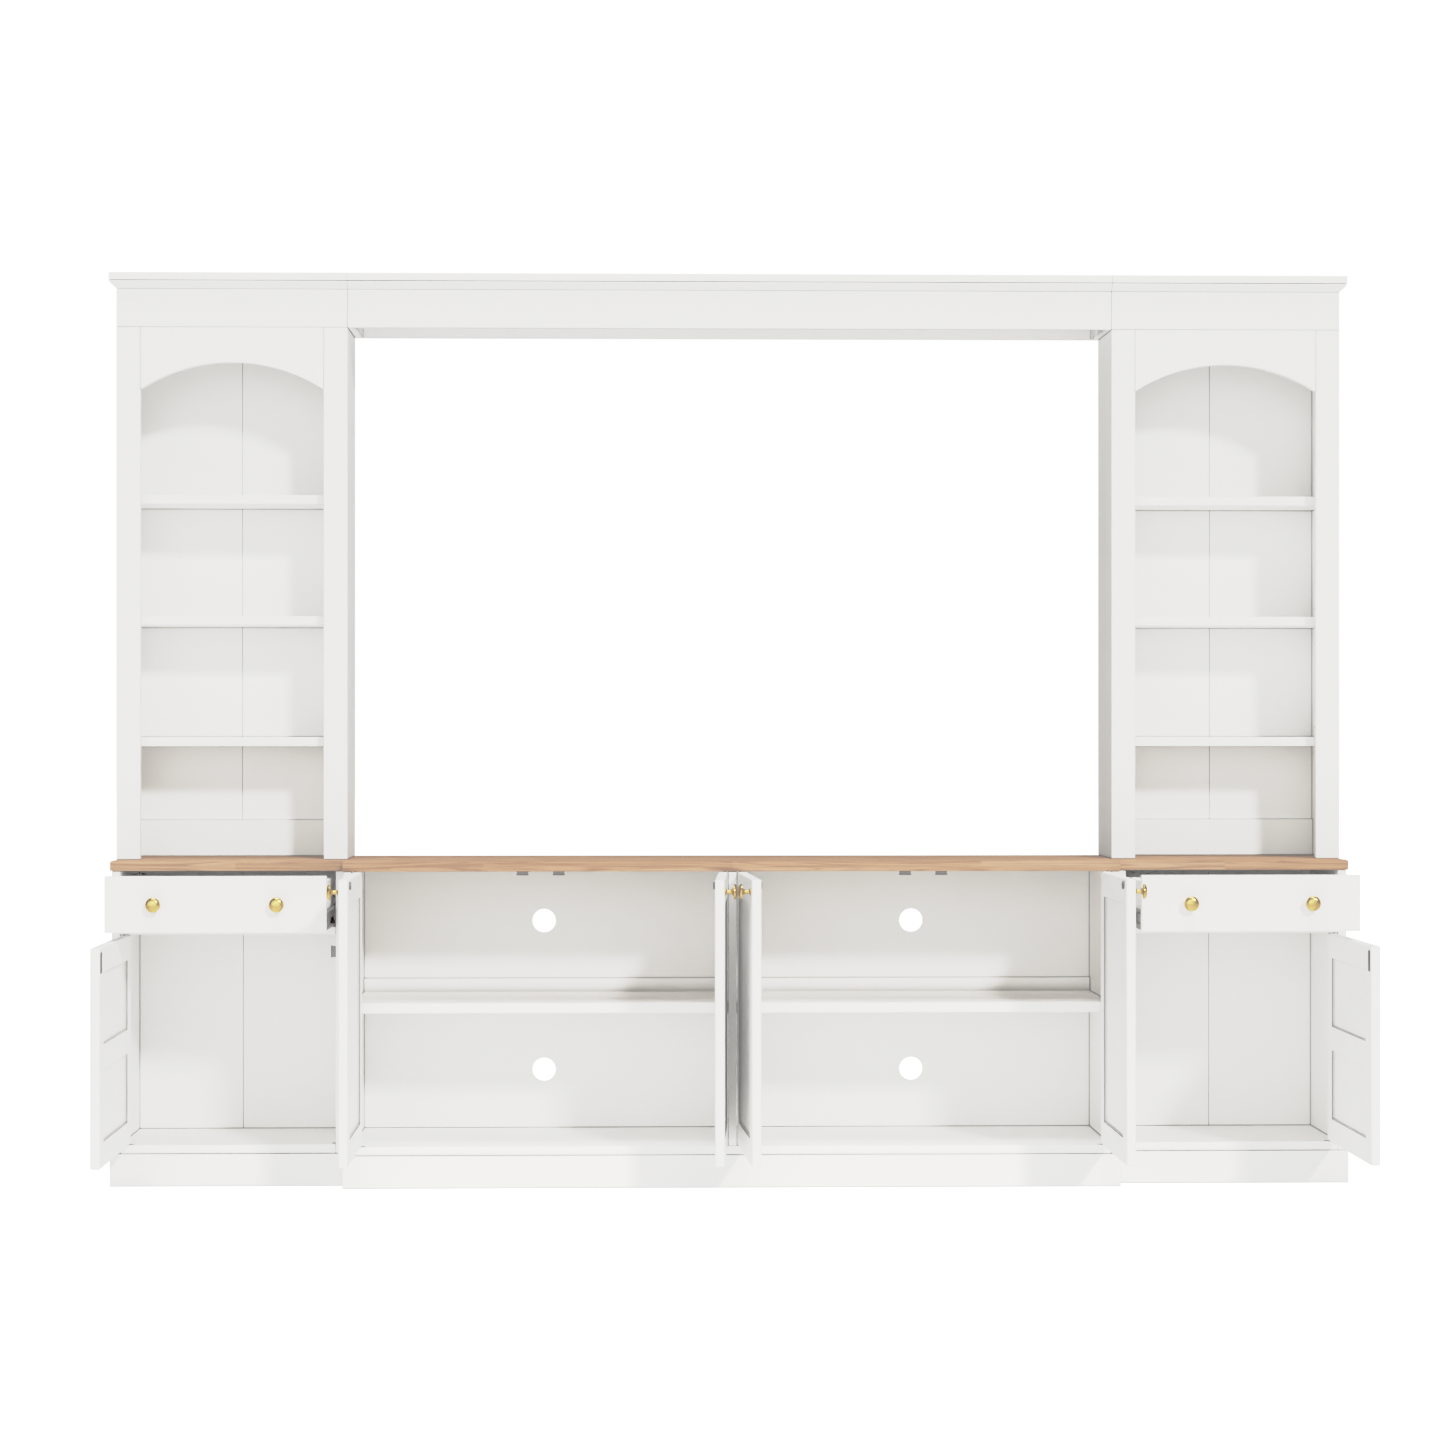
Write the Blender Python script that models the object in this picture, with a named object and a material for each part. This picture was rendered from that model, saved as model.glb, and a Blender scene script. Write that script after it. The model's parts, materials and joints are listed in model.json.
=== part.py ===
"""White entertainment center with oak tops.

A low console with four framed doors stands between two side towers. Each tower has a drawer over
a door and carries an open hutch with an arched head, and a bridge joins the hutches at the top.
Units are metres, +Z is up and the front faces -Y. The origin is on the floor, in the middle of
the console. The model stands as it is pictured, with its drawers pulled out and its doors open.
"""

import math

import bmesh
import bpy
from mathutils import Vector

for old in list(bpy.data.objects):
    bpy.data.objects.remove(old, do_unlink=True)


quarter_turn = math.radians(90)

# Driving dimensions: the cabinets

overall_height = 1.997
base_height = 0.7065
console_width = 1.688
console_depth = 0.382
tower_width = 0.5075
tower_depth = 0.330
hutch_depth = 0.232
plinth_height = 0.070

# Driving dimensions: the boards

panel_thickness = 0.018
deck_thickness = 0.020
oak_thickness = 0.021
plinth_board = 0.018
plinth_end_board = 0.030
back_thickness = 0.005
back_recess = 0.005
back_groove_depth = 0.005
back_rail_thickness = 0.012
face_setback = 0.004
tower_end_setback = 0.004
console_end_setback = 0.002

# Clearances, seams and edges

fit_gap = 0.0003
module_gap = 0.0005
door_gap = 0.0015
door_meeting_gap = 0.003
drawer_side_gap = 0.0008
seam_width = 0.0014
seam_depth = 0.0014
edge_ease = 0.0008
crown_ease = 0.0004
door_edge_round = 0.003
weld = 0.002
overrun = 0.002

# Tower and console interiors

drawer_bay_height = 0.1225
drawer_divider_thickness = 0.016
console_shelf_thickness = 0.022
console_shelf_setback = 0.028
console_shelf_rail = 0.030
cable_hole_radius = 0.0265
upper_cable_hole_drop = 0.1265
lower_cable_hole_rise = 0.132

# Hutch

hutch_end_setback = 0.001
hutch_stile_width = 0.052
fascia_height = 0.0841
arch_springing_drop = 0.1373
arch_rise = 0.060
hutch_shelf_thickness = 0.020
hutch_shelf_setback = 0.040
hutch_lowest_shelf_rise = 0.269
hutch_shelf_pitch = 0.268
hutch_shelf_count = 3
hutch_back_rail_height = 0.081

# Crown

crown_splay_height = 0.0135
crown_splay_reach = 0.0142
crown_band = 0.0031
crown_shadow_height = 0.0014
crown_shadow_depth = 0.0016
crown_slab = 0.0161
crown_overhang = 0.015

# Doors and their pivot pins

door_thickness = 0.020
console_door_rail = 0.052
tower_door_rail = 0.051
panel_sink = 0.006
panel_slope = 0.001
pivot_from_edge = 0.006
pivot_from_face = 0.006
pin_radius = 0.0025
pin_root = 0.008
pin_reach = 0.006
socket_clearance = 0.0003
socket_end_clearance = 0.001
knob_meeting_gap = 0.0012
open_swing = quarter_turn

# Drawers and their slides

drawer_pull = 0.243
drawer_front_thickness = 0.018
drawer_box_length = 0.280
drawer_box_drop = 0.016
drawer_wall = 0.012
drawer_bottom = 0.005
drawer_bottom_rise = 0.008
drawer_knob_spread = 0.259
slide_height = 0.045
slide_thickness = 0.0127
slide_sheet = 0.0012
slide_reach = 0.009
slide_lip = 0.004
slide_running_gap = 0.0003
slide_start = 0.003
slide_length = 0.280

# Knobs

knob_projection = 0.026
knob_head_radius = 0.016
knob_neck_radius = 0.0042
knob_foot_radius = 0.0075
knob_foot_thickness = 0.0018
knob_neck_start = 0.0055
knob_flare_start = 0.0115
knob_rim_low = 0.0185
knob_rim_high = 0.0205

# Counts and angles

round_sides = 20
pin_sides = 12
hole_sides = 32
arch_steps = 24
knob_flare_steps = 3
knob_dome_steps = 3
knob_dome_turn = math.radians(80)
ease_angle = math.radians(40)
smooth_angle = math.radians(38)

# Planes that follow from the sizes above

back_y = console_depth / 2
console_front_y = back_y - console_depth
tower_front_y = back_y - tower_depth
hutch_front_y = back_y - hutch_depth
console_face_y = console_front_y + face_setback
tower_face_y = tower_front_y + face_setback
back_face_y = back_y - back_recess - back_thickness

console_half = console_width / 2
console_side_out = console_half - console_end_setback
console_side_in = console_side_out - panel_thickness
divider_half = panel_thickness / 2

tower_in = console_half + module_gap
tower_out = tower_in + tower_width
bay_in = tower_in + panel_thickness
tower_side_out = tower_out - tower_end_setback
bay_out = tower_side_out - panel_thickness
hutch_out = tower_out - hutch_end_setback
hutch_bay_out = hutch_out - panel_thickness

deck_top = plinth_height + deck_thickness
oak_bottom = base_height - oak_thickness
drawer_divider_top = oak_bottom - drawer_bay_height
drawer_divider_bottom = drawer_divider_top - drawer_divider_thickness
console_shelf_top = (deck_top + oak_bottom + console_shelf_thickness) / 2
crown_height = crown_splay_height + crown_band + crown_shadow_height + crown_slab
crown_bottom = overall_height - crown_height
fascia_bottom = crown_bottom - fascia_height
hutch_bottom = base_height + fit_gap

bay_width = console_side_in - divider_half
console_door_width = (bay_width - 2 * door_gap - door_meeting_gap) / 2
tower_door_width = bay_out - bay_in - 2 * door_gap


# Helpers that make and join solids

def loft(rings):
    """A closed solid through rings of points, all with the same count."""
    shape = bmesh.new()
    rows = [[shape.verts.new(point) for point in ring] for ring in rings]
    for lower, upper in zip(rows, rows[1:]):
        for here in range(len(lower)):
            after = (here + 1) % len(lower)
            shape.faces.new((lower[here], lower[after], upper[after], upper[here]))
    shape.faces.new(list(reversed(rows[0])))
    shape.faces.new(rows[-1])
    bmesh.ops.recalc_face_normals(shape, faces=shape.faces)
    return shape


def rectangle(x, y, z):
    """The four corners of a level rectangle."""
    return [(x[0], y[0], z), (x[1], y[0], z), (x[1], y[1], z), (x[0], y[1], z)]


def circle(radius, z, sides):
    """A level ring of points round the Z axis."""
    turns = [2 * math.pi * side / sides for side in range(sides)]
    return [(radius * math.cos(turn), radius * math.sin(turn), z) for turn in turns]


def across(sign, near, far):
    """The lower and upper X of a piece between two distances from the middle."""
    return tuple(sorted((sign * near, sign * far)))


def place(name, shape, location, parent=None):
    """Put a shape into the scene as a named object."""
    mesh = bpy.data.meshes.new(name)
    shape.to_mesh(mesh)
    shape.free()
    made = bpy.data.objects.new(name, mesh)
    bpy.context.collection.objects.link(made)
    made.parent = parent
    made.location = location
    return made


def ease_edges(target, width, steps=1):
    """Break the sharp edges of a board."""
    ease = target.modifiers.new("eased_edges", "BEVEL")
    ease.width = width
    ease.segments = steps
    ease.limit_method = "ANGLE"
    ease.angle_limit = ease_angle


def board(name, x, y, z, finish, parent=None, ease=edge_ease, steps=1):
    """A sawn board that fills the given spans, with its edges eased."""
    low = Vector((x[0], y[0], z[0]))
    high = Vector((x[1], y[1], z[1]))
    half = (high - low) / 2
    base = rectangle((-half.x, half.x), (-half.y, half.y), -half.z)
    top = rectangle((-half.x, half.x), (-half.y, half.y), half.z)
    made = place(name, loft([base, top]), (low + high) / 2, parent)
    made.data.materials.append(finish)
    ease_edges(made, ease, steps)
    return made


def combine(target, tool, operation):
    """Apply a tool to a target that lies in the same frame."""
    tool.parent = target.parent
    tool.hide_render = True
    tool.display_type = "WIRE"
    step = target.modifiers.new(tool.name, "BOOLEAN")
    step.solver = "EXACT"
    step.operation = operation
    step.object = tool


def block(name, x, y, z):
    """A plain block that fills the given spans, for a cut."""
    return place(name, loft([rectangle(x, y, z[0]), rectangle(x, y, z[1])]), Vector())


def cut_block(target, label, x, y, z):
    """Cut a block out of a board."""
    combine(target, block(f"{target.name}_{label}", x, y, z), "DIFFERENCE")


def join_board(target, label, x, y, z, finish):
    """Join a second board to the first."""
    combine(target, board(f"{target.name}_{label}", x, y, z, finish), "UNION")


def cut_socket(target, label, x, y, z):
    """Cut an upright round socket for a pivot pin."""
    radius = pin_radius + socket_clearance
    shape = loft([circle(radius, level, pin_sides) for level in z])
    combine(target, place(f"{target.name}_{label}", shape, (x, y, 0)), "DIFFERENCE")


def cut_cable_hole(target, label, x, z):
    """Cut a round hole through an upright back panel."""
    ends = (-back_thickness, back_thickness)
    shape = loft([circle(cable_hole_radius, end, hole_sides) for end in ends])
    drill = place(f"{target.name}_{label}", shape, (x, back_face_y + back_thickness / 2, z))
    drill.rotation_euler.x = quarter_turn
    combine(target, drill, "DIFFERENCE")


def extrude_outline(name, outline, y, finish):
    """A solid from an outline of X and Z points, drawn out along Y."""
    made = place(name, loft([[(x, end, z) for x, z in outline] for end in y]), Vector())
    made.data.materials.append(finish)
    return made


def frame_at(name, location, turn=0.0):
    """An empty that carries the pieces of one moving body."""
    made = bpy.data.objects.new(name, None)
    bpy.context.collection.objects.link(made)
    made.location = location
    made.rotation_euler.z = turn
    return made


# Materials

def finish_material(name, colour, roughness, metallic=0.0):
    """A Principled material of one colour."""
    made = bpy.data.materials.new(name)
    made.use_nodes = True
    shader = made.node_tree.nodes["Principled BSDF"]
    shader.inputs["Base Color"].default_value = (*colour, 1.0)
    shader.inputs["Roughness"].default_value = roughness
    shader.inputs["Metallic"].default_value = metallic
    return made


white_paint = finish_material("white_paint", (0.86, 0.85, 0.83), 0.42)
oak = finish_material("oak", (0.62, 0.42, 0.27), 0.5)
brushed_gold = finish_material("brushed_gold", (0.83, 0.62, 0.25), 0.3, 1.0)
slide_steel = finish_material("slide_steel", (0.36, 0.36, 0.35), 0.4, 1.0)


# Knobs

def knob_profile():
    """Radius and height from the foot to the crown of the head."""
    profile = [(knob_foot_radius, 0.0), (knob_foot_radius, knob_foot_thickness),
               (knob_neck_radius, knob_neck_start)]
    for step in range(knob_flare_steps + 1):
        turn = quarter_turn * step / knob_flare_steps
        radius = knob_head_radius - (knob_head_radius - knob_neck_radius) * math.cos(turn)
        profile.append((radius, knob_flare_start + (knob_rim_low - knob_flare_start) * math.sin(turn)))
    for step in range(knob_dome_steps + 1):
        turn = knob_dome_turn * step / knob_dome_steps
        rise = (knob_projection - knob_rim_high) * math.sin(turn) / math.sin(knob_dome_turn)
        profile.append((knob_head_radius * math.cos(turn), knob_rim_high + rise))
    return profile


def add_knob(name, x, face_y, z, parent):
    """A turned knob that stands out from a front towards -Y."""
    rings = [circle(radius, height, round_sides) for radius, height in knob_profile()]
    made = place(name, loft(rings), (x, face_y - fit_gap, z), parent)
    made.rotation_euler.x = quarter_turn
    made.data.materials.append(brushed_gold)
    made.data.shade_smooth()
    made.data.set_sharp_from_angle(angle=smooth_angle)
    return made


# Doors

def sink_panel(door, label, x, z, face, depth):
    """Sink a panel into a door's face, with walls that slope in."""
    outside = math.copysign(overrun, depth)
    rings = []
    for y, inset in ((face - outside, 0.0), (face + depth, panel_slope)):
        left, right = x[0] + inset, x[1] - inset
        low, high = z[0] + inset, z[1] - inset
        rings.append([(left, y, low), (right, y, low), (right, y, high), (left, y, high)])
    combine(door, place(f"{door.name}_{label}", loft(rings), Vector()), "DIFFERENCE")


def add_pin(door, label, z):
    """A pivot pin on the hinge's axis, fixed in the end of a door."""
    shape = loft([circle(pin_radius, level, pin_sides) for level in z])
    combine(door, place(f"{door.name}_{label}", shape, Vector()), "UNION")


def add_door(name, hinge_x, reach, face_y, z, width, rail, panel_count, swing, with_knob):
    """A framed door, drawn shut round its hinge and then swung open.

    reach is 1 where the shut door lies to the right of its hinge and -1 where it lies to the left.
    """
    hinge = frame_at(f"{name}_hinge", (hinge_x, face_y + pivot_from_face, z[0]), -reach * swing)
    height = z[1] - z[0]
    outer = -pivot_from_face
    inner = outer + door_thickness
    near = -pivot_from_edge
    far = width - pivot_from_edge
    span = across(reach, near, far)
    door = board(name, span, (outer, inner), (0.0, height), white_paint, hinge, door_edge_round, 2)
    panel_height = (height - (panel_count + 1) * rail) / panel_count
    for row in range(panel_count):
        low = rail + row * (panel_height + rail)
        panel_x = across(reach, near + rail, far - rail)
        panel_z = (low, low + panel_height)
        sink_panel(door, f"outer_panel_{row + 1}", panel_x, panel_z, outer, panel_sink)
        sink_panel(door, f"inner_panel_{row + 1}", panel_x, panel_z, inner, -panel_sink)
    pin_out = door_gap + pin_reach
    add_pin(door, "lower_pin", (-pin_out, pin_root))
    add_pin(door, "upper_pin", (height - pin_root, height + pin_out))
    if with_knob:
        add_knob(f"{name}_knob", reach * (far - rail / 2), outer, height - rail / 2, hinge)


# Bases, tops and sides

def add_base(name, x, front_y, face_y, deck_x, hollows):
    """A plinth frame with the cabinet's deck on it."""
    base = board(name, x, (front_y, back_y), (0.0, plinth_height), white_paint)
    deck_z = (plinth_height - weld, deck_top)
    join_board(base, "deck", deck_x, (face_y, back_y - face_setback), deck_z, white_paint)
    hollow_y = (front_y + plinth_board, back_y - plinth_board)
    for number, hollow_x in enumerate(hollows, start=1):
        cut_block(base, f"hollow_{number}", hollow_x, hollow_y, (-overrun, plinth_height))
    seam_y = (face_y - overrun, face_y + seam_depth)
    seam_x = (deck_x[0] - overrun, deck_x[1] + overrun)
    cut_block(base, "deck_seam", seam_x, seam_y, (plinth_height, plinth_height + seam_width))
    return base


def add_side(name, x, front_y, z, bay_face, sign):
    """An upright side board with a groove for the back panel."""
    side = board(name, x, (front_y, back_y), z, white_paint)
    groove_y = (back_face_y - fit_gap, back_face_y + back_thickness + fit_gap)
    groove_x = across(1, bay_face + sign * back_groove_depth, bay_face - sign * overrun)
    cut_block(side, "back_groove", groove_x, groove_y, (z[0] - overrun, z[1] + overrun))


def add_back(name, x, z, seam_at=None):
    """A thin back panel, with a seam where its two leaves meet."""
    groove = back_groove_depth - fit_gap
    back = board(name, (x[0] - groove, x[1] + groove), (back_face_y, back_face_y + back_thickness),
                 z, white_paint)
    if seam_at is not None:
        seam_x = (seam_at - seam_width / 2, seam_at + seam_width / 2)
        seam_y = (back_face_y - overrun, back_face_y + seam_depth)
        cut_block(back, "seam", seam_x, seam_y, (z[0] - overrun, z[1] + overrun))
    return back


def socket_depths(surface, sign):
    """The lower and upper Z of a socket that goes down (-1) or up (1) into a surface."""
    end = surface + sign * (pin_reach + socket_end_clearance)
    return tuple(sorted((surface - sign * overrun, end)))


# Console

def build_console():
    """The low cabinet between the towers, with its four doors."""
    side_z = (plinth_height + fit_gap, oak_bottom - fit_gap)
    inside_z = (deck_top + fit_gap, oak_bottom - fit_gap)
    deck_x = (-console_side_in + fit_gap, console_side_in - fit_gap)
    hollow = (divider_half, console_half - plinth_end_board)
    base = add_base("console_base", (-console_half, console_half), console_front_y, console_face_y,
                    deck_x, [across(-1, *hollow), across(1, *hollow)])
    top = board("console_top", (-console_half, console_half), (console_front_y, back_y),
                (oak_bottom, base_height), oak)
    board("console_divider", (-divider_half, divider_half), (console_face_y, back_face_y - fit_gap),
          inside_z, white_paint)
    back = add_back("console_back", (-console_side_in, console_side_in), inside_z)

    hole_x = (divider_half + console_side_in) / 2
    hinge_out = console_side_in - door_gap - pivot_from_edge
    hinge_in = divider_half + door_gap + pivot_from_edge
    hinge_y = console_face_y + pivot_from_face
    for side, sign in (("left", -1), ("right", 1)):
        add_side(f"console_side_{side}", across(sign, console_side_in, console_side_out),
                 console_face_y, side_z, sign * console_side_in, sign)
        shelf_x = across(sign, divider_half + fit_gap, console_side_in - fit_gap)
        shelf_z = (console_shelf_top - console_shelf_thickness, console_shelf_top)
        shelf_y = (console_front_y + console_shelf_setback, back_face_y - fit_gap)
        shelf = board(f"console_shelf_{side}", shelf_x, shelf_y, shelf_z, white_paint)
        rail_x = (shelf_x[0] + fit_gap, shelf_x[1] - fit_gap)
        rail_y = (shelf_y[1] - back_rail_thickness, shelf_y[1] - fit_gap)
        rail_z = (console_shelf_top - weld, console_shelf_top + console_shelf_rail)
        join_board(shelf, "back_rail", rail_x, rail_y, rail_z, white_paint)
        cut_cable_hole(back, f"upper_hole_{side}", sign * hole_x, oak_bottom - upper_cable_hole_drop)
        cut_cable_hole(back, f"lower_hole_{side}", sign * hole_x, deck_top + lower_cable_hole_rise)
        for row, hinge_x in (("outer", hinge_out), ("inner", hinge_in)):
            for target, surface, way in ((base, deck_top, -1), (top, oak_bottom, 1)):
                label = f"{side}_{row}_socket"
                cut_socket(target, label, sign * hinge_x, hinge_y, socket_depths(surface, way))

    door_z = (deck_top + door_gap, oak_bottom - door_gap)
    middle_swing = open_swing - middle_door_lean(hinge_in)
    doors = ((-hinge_out, 1, open_swing), (-hinge_in, -1, middle_swing),
             (hinge_in, 1, middle_swing), (hinge_out, -1, open_swing))
    for number, (hinge_x, reach, swing) in enumerate(doors, start=1):
        add_door(f"console_door_{number}", hinge_x, reach, console_face_y, door_z,
                 console_door_width, console_door_rail, 1, swing, True)


def middle_door_lean(hinge_in):
    """How far short of square the middle doors stop, where their knobs would meet."""
    arm = console_door_width - pivot_from_edge - console_door_rail / 2
    reach = pivot_from_face + fit_gap + knob_projection
    room = hinge_in - knob_meeting_gap / 2
    return math.atan2(reach, arm) - math.asin(min(1.0, room / math.hypot(reach, arm)))


# Towers

def slide_outlines():
    """The cabinet's and the drawer's member of a slide: distance from the side and height."""
    sheet, reach, lip, top = slide_sheet, slide_reach, slide_lip, slide_height
    cabinet = [(0.0, 0.0), (reach, 0.0), (reach, lip), (reach - sheet, lip), (reach - sheet, sheet),
               (sheet, sheet), (sheet, top - sheet), (reach - sheet, top - sheet),
               (reach - sheet, top - lip), (reach, top - lip), (reach, top), (0.0, top)]
    web = slide_thickness + weld
    low = slide_lip + slide_running_gap
    hook = sheet + slide_running_gap
    near = (reach - sheet) / 2
    far = near + sheet
    inside = slide_thickness - sheet
    drawer = [(web, low), (web, top - low), (far, top - low), (far, top - hook), (near, top - hook),
              (near, top - low - sheet), (inside, top - low - sheet), (inside, low + sheet),
              (near, low + sheet), (near, hook), (far, hook), (far, low)]
    return cabinet, drawer


def add_drawer(side, sign, bay_z):
    """A drawer with its box, slides and knobs, pulled out of its bay."""
    slide_frame = frame_at(f"{side}_drawer_runner", (0.0, -drawer_pull, 0.0))
    front_z = (bay_z[0] + door_gap, bay_z[1] - door_gap)
    front_y = (tower_face_y, tower_face_y + drawer_front_thickness)
    front_x = across(sign, bay_in + drawer_side_gap, bay_out - drawer_side_gap)
    board(f"{side}_drawer_front", front_x, front_y, front_z, white_paint, slide_frame)

    slide_z = front_z[0]
    box_x = across(sign, bay_in + slide_thickness, bay_out - slide_thickness)
    box_y = (front_y[1] + fit_gap, front_y[1] + fit_gap + drawer_box_length)
    box_z = (slide_z + slide_lip, front_z[1] - drawer_box_drop)
    box = board(f"{side}_drawer_box", box_x, box_y, box_z, white_paint, slide_frame)
    inside_x = (box_x[0] + drawer_wall, box_x[1] - drawer_wall)
    inside_y = (box_y[0] + drawer_wall, box_y[1] - drawer_wall)
    floor_z = box_z[0] + drawer_bottom_rise
    cut_block(box, "inside", inside_x, inside_y, (floor_z + drawer_bottom, box_z[1] + overrun))
    cut_block(box, "underside", inside_x, inside_y, (box_z[0] - overrun, floor_z))

    cabinet_outline, drawer_outline = slide_outlines()
    rail_start = front_y[1] + slide_start
    for label, face, way in (("inner", bay_in, 1), ("outer", bay_out, -1)):
        rail = [(sign * (face + way * (fit_gap + out)), slide_z + up) for out, up in cabinet_outline]
        extrude_outline(f"{side}_slide_rail_{label}", rail,
                        (rail_start, rail_start + slide_length), slide_steel)
        member = [(sign * (face + way * out), slide_z + up) for out, up in drawer_outline]
        tool = extrude_outline(f"{side}_drawer_member_{label}", member,
                               (box_y[0] + slide_start, box_y[1] - slide_start), slide_steel)
        combine(box, tool, "UNION")

    knob_z = (front_z[0] + front_z[1]) / 2
    middle = (front_x[0] + front_x[1]) / 2
    for label, shift in (("left", -drawer_knob_spread / 2), ("right", drawer_knob_spread / 2)):
        add_knob(f"{side}_drawer_knob_{label}", middle + shift, tower_face_y, knob_z, slide_frame)


def build_tower(side, sign):
    """The lower cabinet of one tower, with its drawer and door."""
    side_z = (plinth_height + fit_gap, oak_bottom - fit_gap)
    deck_x = across(sign, bay_in + fit_gap, bay_out - fit_gap)
    hollow = across(sign, tower_in + plinth_end_board, tower_out - plinth_end_board)
    base = add_base(f"{side}_tower_base", across(sign, tower_in, tower_out), tower_front_y,
                    tower_face_y, deck_x, [hollow])
    add_side(f"{side}_tower_side_inner", across(sign, tower_in, bay_in), tower_face_y, side_z,
             sign * bay_in, -sign)
    add_side(f"{side}_tower_side_outer", across(sign, bay_out, tower_side_out), tower_face_y,
             side_z, sign * bay_out, sign)
    divider = board(f"{side}_tower_divider", deck_x, (tower_face_y, back_face_y - fit_gap),
                    (drawer_divider_bottom, drawer_divider_top), white_paint)
    board(f"{side}_tower_top", across(sign, tower_in, tower_out), (tower_front_y, back_y),
          (oak_bottom, base_height), oak)
    add_back(f"{side}_tower_back", across(sign, bay_in, bay_out),
             (deck_top + fit_gap, oak_bottom - fit_gap), sign * (bay_in + bay_out) / 2)
    add_drawer(side, sign, (drawer_divider_top, oak_bottom))

    hinge_x = sign * (bay_out - door_gap - pivot_from_edge)
    hinge_y = tower_face_y + pivot_from_face
    cut_socket(base, "door_socket", hinge_x, hinge_y, socket_depths(deck_top, -1))
    cut_socket(divider, "door_socket", hinge_x, hinge_y, socket_depths(drawer_divider_bottom, 1))
    add_door(f"{side}_tower_door", hinge_x, -sign, tower_face_y,
             (deck_top + door_gap, drawer_divider_bottom - door_gap), tower_door_width,
             tower_door_rail, 2, open_swing, False)


# Hutches and bridge

def face_frame_outline(x):
    """Two stiles and an arched head, as one outline of X and Z points."""
    left, right = x
    top = crown_bottom - fit_gap
    spring = fascia_bottom - arch_springing_drop
    half_span = (right - left) / 2 - hutch_stile_width
    radius = (half_span ** 2 + arch_rise ** 2) / (2 * arch_rise)
    centre_x = (left + right) / 2
    centre_z = spring + arch_rise - radius
    half_turn = math.asin(half_span / radius)
    arch = []
    for step in range(arch_steps + 1):
        turn = half_turn * (1 - 2 * step / arch_steps)
        arch.append((centre_x + radius * math.sin(turn), centre_z + radius * math.cos(turn)))
    return [(left, hutch_bottom), (left, top), (right, top), (right, hutch_bottom),
            (right - hutch_stile_width, hutch_bottom), *arch, (left + hutch_stile_width, hutch_bottom)]


def add_crown(name, x, left_overhang, right_overhang):
    """A crown board over a splayed moulding, which stands out in front and at an open end."""
    splay = crown_splay_reach
    shadow = splay - crown_shadow_depth
    levels = [(0.0, 0.0), (crown_splay_height, splay), (crown_band, splay),
              (0.0, shadow), (crown_shadow_height, shadow),
              (0.0, crown_overhang), (crown_slab, crown_overhang)]
    rings = []
    z = crown_bottom
    for rise, stand in levels:
        z += rise
        ends = (x[0] - stand * left_overhang, x[1] + stand * right_overhang)
        rings.append(rectangle(ends, (hutch_front_y - stand, back_y), z))
    crown = place(name, loft(rings), Vector())
    crown.data.materials.append(white_paint)
    ease_edges(crown, crown_ease)
    return crown


def build_hutch(side, sign):
    """The open shelves that stand on one tower."""
    z = (hutch_bottom, crown_bottom - fit_gap)
    x = across(sign, tower_in, hutch_out)
    frame_y = (hutch_front_y, hutch_front_y + panel_thickness)
    board_front = frame_y[1] + fit_gap
    add_side(f"{side}_hutch_side_inner", across(sign, tower_in, bay_in), board_front, z,
             sign * bay_in, -sign)
    add_side(f"{side}_hutch_side_outer", across(sign, hutch_bay_out, hutch_out), board_front, z,
             sign * hutch_bay_out, sign)

    frame = extrude_outline(f"{side}_hutch_face_frame", face_frame_outline(x), frame_y, white_paint)
    ease_edges(frame, edge_ease)
    seam_y = (hutch_front_y - overrun, hutch_front_y + seam_depth)
    fascia_seam_z = (fascia_bottom - seam_width / 2, fascia_bottom + seam_width / 2)
    cut_block(frame, "fascia_seam", (x[0] - overrun, x[1] + overrun), seam_y, fascia_seam_z)
    spring = fascia_bottom - arch_springing_drop
    for label, edge in (("left", x[0] + hutch_stile_width), ("right", x[1] - hutch_stile_width)):
        seam_x = (edge - seam_width / 2, edge + seam_width / 2)
        cut_block(frame, f"{label}_stile_seam", seam_x, seam_y, (spring - overrun, fascia_bottom))

    inside = across(sign, bay_in, hutch_bay_out)
    back = add_back(f"{side}_hutch_back", inside, z, sum(inside) / 2)
    shelf_x = (inside[0] + fit_gap, inside[1] - fit_gap)
    rail_y = (back_face_y - back_rail_thickness, back_face_y + weld)
    rail_z = (z[0] + fit_gap, z[0] + hutch_back_rail_height)
    join_board(back, "foot_rail", shelf_x, rail_y, rail_z, white_paint)
    shelf_y = (hutch_front_y + hutch_shelf_setback, back_face_y - fit_gap)
    for number in range(hutch_shelf_count):
        shelf_top = base_height + hutch_lowest_shelf_rise + number * hutch_shelf_pitch
        board(f"{side}_hutch_shelf_{number + 1}", shelf_x, shelf_y,
              (shelf_top - hutch_shelf_thickness, shelf_top), white_paint)
    add_crown(f"{side}_hutch_crown", x, 1 if sign < 0 else 0, 1 if sign > 0 else 0)


def build_bridge():
    """The open-bottomed frame and crown that join the hutches over the screen."""
    x = (-console_half, console_half)
    z = (fascia_bottom, crown_bottom - fit_gap)
    frame = board("bridge_frame", x, (hutch_front_y, back_y), z, white_paint)
    hollow_x = (x[0] + panel_thickness, x[1] - panel_thickness)
    hollow_y = (hutch_front_y + panel_thickness, back_y - panel_thickness)
    cut_block(frame, "hollow", hollow_x, hollow_y, (z[0] - overrun, z[1] + overrun))
    add_crown("bridge_crown", x, 0, 0)


build_console()
for side_name, side_sign in (("left", -1), ("right", 1)):
    build_tower(side_name, side_sign)
    build_hutch(side_name, side_sign)
build_bridge()
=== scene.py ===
"""The looks of a white entertainment center with oak tops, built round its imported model.

Everything is in metres in the model's frame: +X to the right, +Y to the wall and +Z up.
"""

import json
import math

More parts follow.
